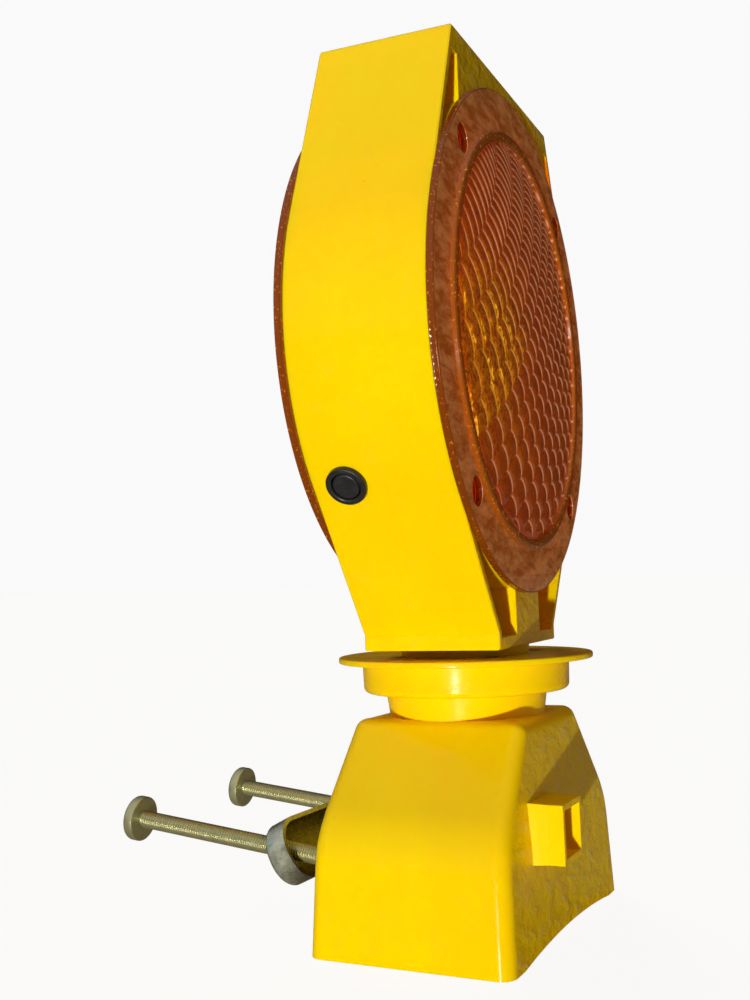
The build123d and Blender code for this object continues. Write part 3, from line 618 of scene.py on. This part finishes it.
def plated_steel(name, pale, tint, other, roughness, metallic=0.6, grain=0.004, painted_hollow_shade=0.0):
    """Plated steel: cloudy passivation colours, fine grain and painted shade in its hollows."""
    look = Look(name, pale, roughness, metallic)
    cloud = look.noise(7, 4, 0.6, 1.0)
    stain = look.noise(2.6, 3, 0.6, 0.5)
    shade = look.mix(look.remap(cloud, 0.38, 0.66), pale, tint)
    shade = look.mix(look.remap(stain, 0.55, 0.75, 0.0, 0.55), shade, other)
    # painted shade: hollows found by ambient occlusion are darkened to a dark brown
    if painted_hollow_shade:
        hollow = look.node("ShaderNodeAmbientOcclusion", Distance=0.02)
        hollow.samples = 4
        shade = look.mix(look.remap(hollow.outputs["AO"], 0.70, 1.0, painted_hollow_shade, 0.0), shade,
                         (0.07, 0.045, 0.012))
    look.color(shade)
    look.rough(look.remap(look.noise(3.2, 5, 0.65), 0.3, 0.75, roughness - 0.08, roughness + 0.10))
    if grain:
        look.bump(look.noise(0.35, 3, 0.6), grain, 0.3)
    return look.material


def solder_board():
    look = Look("green_board", (0.02, 0.16, 0.05), 0.3)
    tracks = look.remap(look.voronoi(3.2, "DISTANCE_TO_EDGE", look.stretch((1.0, 0.05, 0.6))), 0.06, 0.09)
    look.color(look.mix(tracks, (0.05, 0.27, 0.08), (0.015, 0.13, 0.045)))
    look.bump(tracks, 0.05, 0.3)
    return look.material


def led_plastic():
    look = Look("led_plastic", (0.98, 0.62, 0.12), 0.08, **{"Transmission Weight": 0.7, "IOR": 1.5})
    look.color(look.mix(look.noise(2.5, 2), (0.95, 0.50, 0.06), (1.0, 0.72, 0.22)))
    look.bump(look.noise(0.8, 1), 0.01, 0.2)
    return look.material


def cell_jacket():
    """Plain cell jacket: dark body with a paler band at one height."""
    look = Look("battery_can", (0.05, 0.06, 0.08), 0.28, **{"Coat Weight": 0.4})
    band = look.maths("GREATER_THAN", look.parts(look.place)["Z"], 0.043)
    base = look.mix(look.noise(4, 2), (0.04, 0.05, 0.07), (0.07, 0.08, 0.10))
    look.color(look.mix(band, base, (0.45, 0.38, 0.16)))
    look.bump(look.noise(1.2, 2), 0.02, 0.3)
    return look.material


MATERIALS = {
    "yellow_plastic": yellow_plastic(),
    "amber_lens": amber_lens(),
    "black_rubber": rubber("black_rubber", (0.012, 0.012, 0.013), 0.42),
    "grey_rubber": rubber("grey_rubber", (0.10, 0.10, 0.105), 0.8, 0.8),
    "black_plastic": moulded("black_plastic", (0.02, 0.02, 0.022), 0.42),
    "white_plastic": moulded("white_plastic", (0.72, 0.71, 0.68), 0.4),
    # zinc steel: the last number darkens its hollows with painted shade
    "zinc_steel": plated_steel("zinc_steel", (0.46, 0.54, 0.44), (0.78, 0.78, 0.62),
                               (0.14, 0.18, 0.17), 0.28, 0.85, 0.0015, 0.97),
    "yellow_zinc_steel": plated_steel("yellow_zinc_steel", (0.53, 0.50, 0.27), (0.45, 0.46, 0.27),
                                      (0.33, 0.38, 0.28), 0.34, 0.8, 0.0),
    "green_board": solder_board(),
    "electronic_parts": moulded("electronic_parts", (0.025, 0.025, 0.028), 0.45),
    "led_plastic": led_plastic(),
    "battery_can": cell_jacket(),
    "nickel": plated_steel("nickel", (0.66, 0.63, 0.57), (0.60, 0.58, 0.54), (0.5, 0.48, 0.44), 0.24),
    "red_wire": moulded("red_wire", (0.45, 0.02, 0.015), 0.38),
}


def dress(piece, slot):
    piece.data.materials.clear()
    piece.data.materials.append(MATERIALS[slot])


def dress_frame():
    """Every CAD node takes the material of its slot in the record."""
    for part in frame["record"]["subparts"]:
        dress(frame["nodes"][part["node"]], part["material_slot"])


# ---- floor, light and camera ------------------------------------------------------------

def floor():
    """A wide pale floor that fades into the backdrop."""
    bpy.ops.mesh.primitive_circle_add(vertices=96, radius=40.0, fill_type="NGON", location=(0, 0, 0))
    ground = bpy.context.object
    ground.name = "floor"
    ground.visible_shadow = False
    look = Look("pale_floor", (0.40, 0.37, 0.31), 0.9)
    glow = look.node("ShaderNodeEmission", Color=(0.95, 0.95, 0.95, 1), Strength=1.34)
    seen = look.maths("MULTIPLY", look.node("ShaderNodeLightPath").outputs["Is Camera Ray"], 0.72)
    look.link(look.blend(seen, look.shader.outputs[0], glow.outputs[0]), look.output.inputs["Surface"])
    ground.data.materials.append(look.material)


def world():
    """Soft light: warm on matt faces, and in reflections bright above and dim ahead of the camera."""
    made = bpy.data.worlds.new("studio")
    bpy.context.scene.world = made
    made.use_nodes = True
    tree = made.node_tree

    def mixed(share, low, high):
        mix = tree.nodes.new("ShaderNodeMix")
        mix.data_type = "RGBA"
        tree.links.new(share, mix.inputs[0])
        for socket, value in ((mix.inputs[6], low), (mix.inputs[7], high)):
            if isinstance(value, tuple):
                socket.default_value = (*value, 1)
            else:
                tree.links.new(value, socket)
        return mix.outputs[2]

    way = tree.nodes.new("ShaderNodeTexCoord").outputs["Generated"]
    slant = tree.nodes.new("ShaderNodeVectorMath")
    slant.operation = "DOT_PRODUCT"
    tree.links.new(way, slant.inputs[0])
    slant.inputs[1].default_value = (-0.45, 0.10, 0.88)
    above = tree.nodes.new("ShaderNodeMapRange")
    above.interpolation_type = "SMOOTHSTEP"
    tree.links.new(slant.outputs["Value"], above.inputs["Value"])
    above.inputs["From Min"].default_value = 0.0
    above.inputs["From Max"].default_value = 0.9
    path = tree.nodes.new("ShaderNodeLightPath")
    level = mixed(above.outputs["Result"], (0.02, 0.018, 0.014), (0.60, 0.61, 0.61))
    level = mixed(path.outputs["Is Diffuse Ray"], level, (0.105, 0.080, 0.045))
    level = mixed(path.outputs["Is Camera Ray"], level, (0.95, 0.95, 0.95))
    tree.links.new(level, tree.nodes["Background"].inputs["Color"])


def lamp(name, kind, energy, toward, place=(0, 0, 0), color=(1, 1, 1), glossy=True):
    """A lamp that shines from the toward direction; a sun's place doesn't matter."""
    light = bpy.data.lights.new(name, kind)
    light.energy, light.color = energy, color
    made = bpy.data.objects.new(name, light)
    made.location = place
    made.rotation_euler = Vector(toward).to_track_quat("Z", "Y").to_euler()
    made.visible_glossy = glossy
    bpy.context.scene.collection.objects.link(made)
    return light


def lights():
    key = lamp("key", "SUN", 3.6, (-0.955, -0.170, -0.243), color=(1.0, 0.985, 0.95))
    key.angle = radians(1.6)
    fill = lamp("fill_back", "SUN", 2.2, (0.72, 0.62, 0.30), glossy=False)
    fill.angle = radians(40.0)
    card = Vector((-0.02, -0.26, 0.01))
    base_middle = Vector((0, -0.03, 0.05))
    bounce = lamp("bounce", "AREA", 0.09, card - base_middle, card, (1.0, 0.78, 0.42), glossy=False)
    bounce.size = 0.25


def camera():
    data = bpy.data.cameras.new("view")
    made = bpy.data.objects.new("view", data)
    bpy.context.scene.collection.objects.link(made)
    bpy.context.scene.camera = made
    right = Vector((0.44419969, -0.89535041, -0.03216025))
    forward = Vector((0.89035782, 0.43715714, 0.12710854))
    up = right.cross(forward)
    turn = Matrix((right, up, -forward)).transposed()
    made.matrix_world = Matrix.Translation((-0.400931, -0.165575, 0.118195)) @ turn.to_4x4()
    data.lens = 42.759
    data.sensor_width = 36.0
    data.shift_x = -0.00432
    data.shift_y = -0.0712
    data.clip_start = 0.01
    data.clip_end = 200.0


dress_frame()
for lens_name, lens_node, lens_sign in (("front_lens_moulding", "front_lens", 1),
                                        ("rear_lens_moulding", "rear_lens", -1)):
    dress(lens(lens_name, lens_node, lens_sign), "amber_lens")
for bolt_name, bolt_node, bolt_side in (("left_bolt_threaded", "left_mount_bolt", -1),
                                        ("right_bolt_threaded", "right_mount_bolt", 1)):
    dress(bolt(bolt_name, bolt_node, bolt_side), "yellow_zinc_steel")
floor()
world()
lights()
camera()
bpy.context.scene.view_settings.view_transform = "Standard"
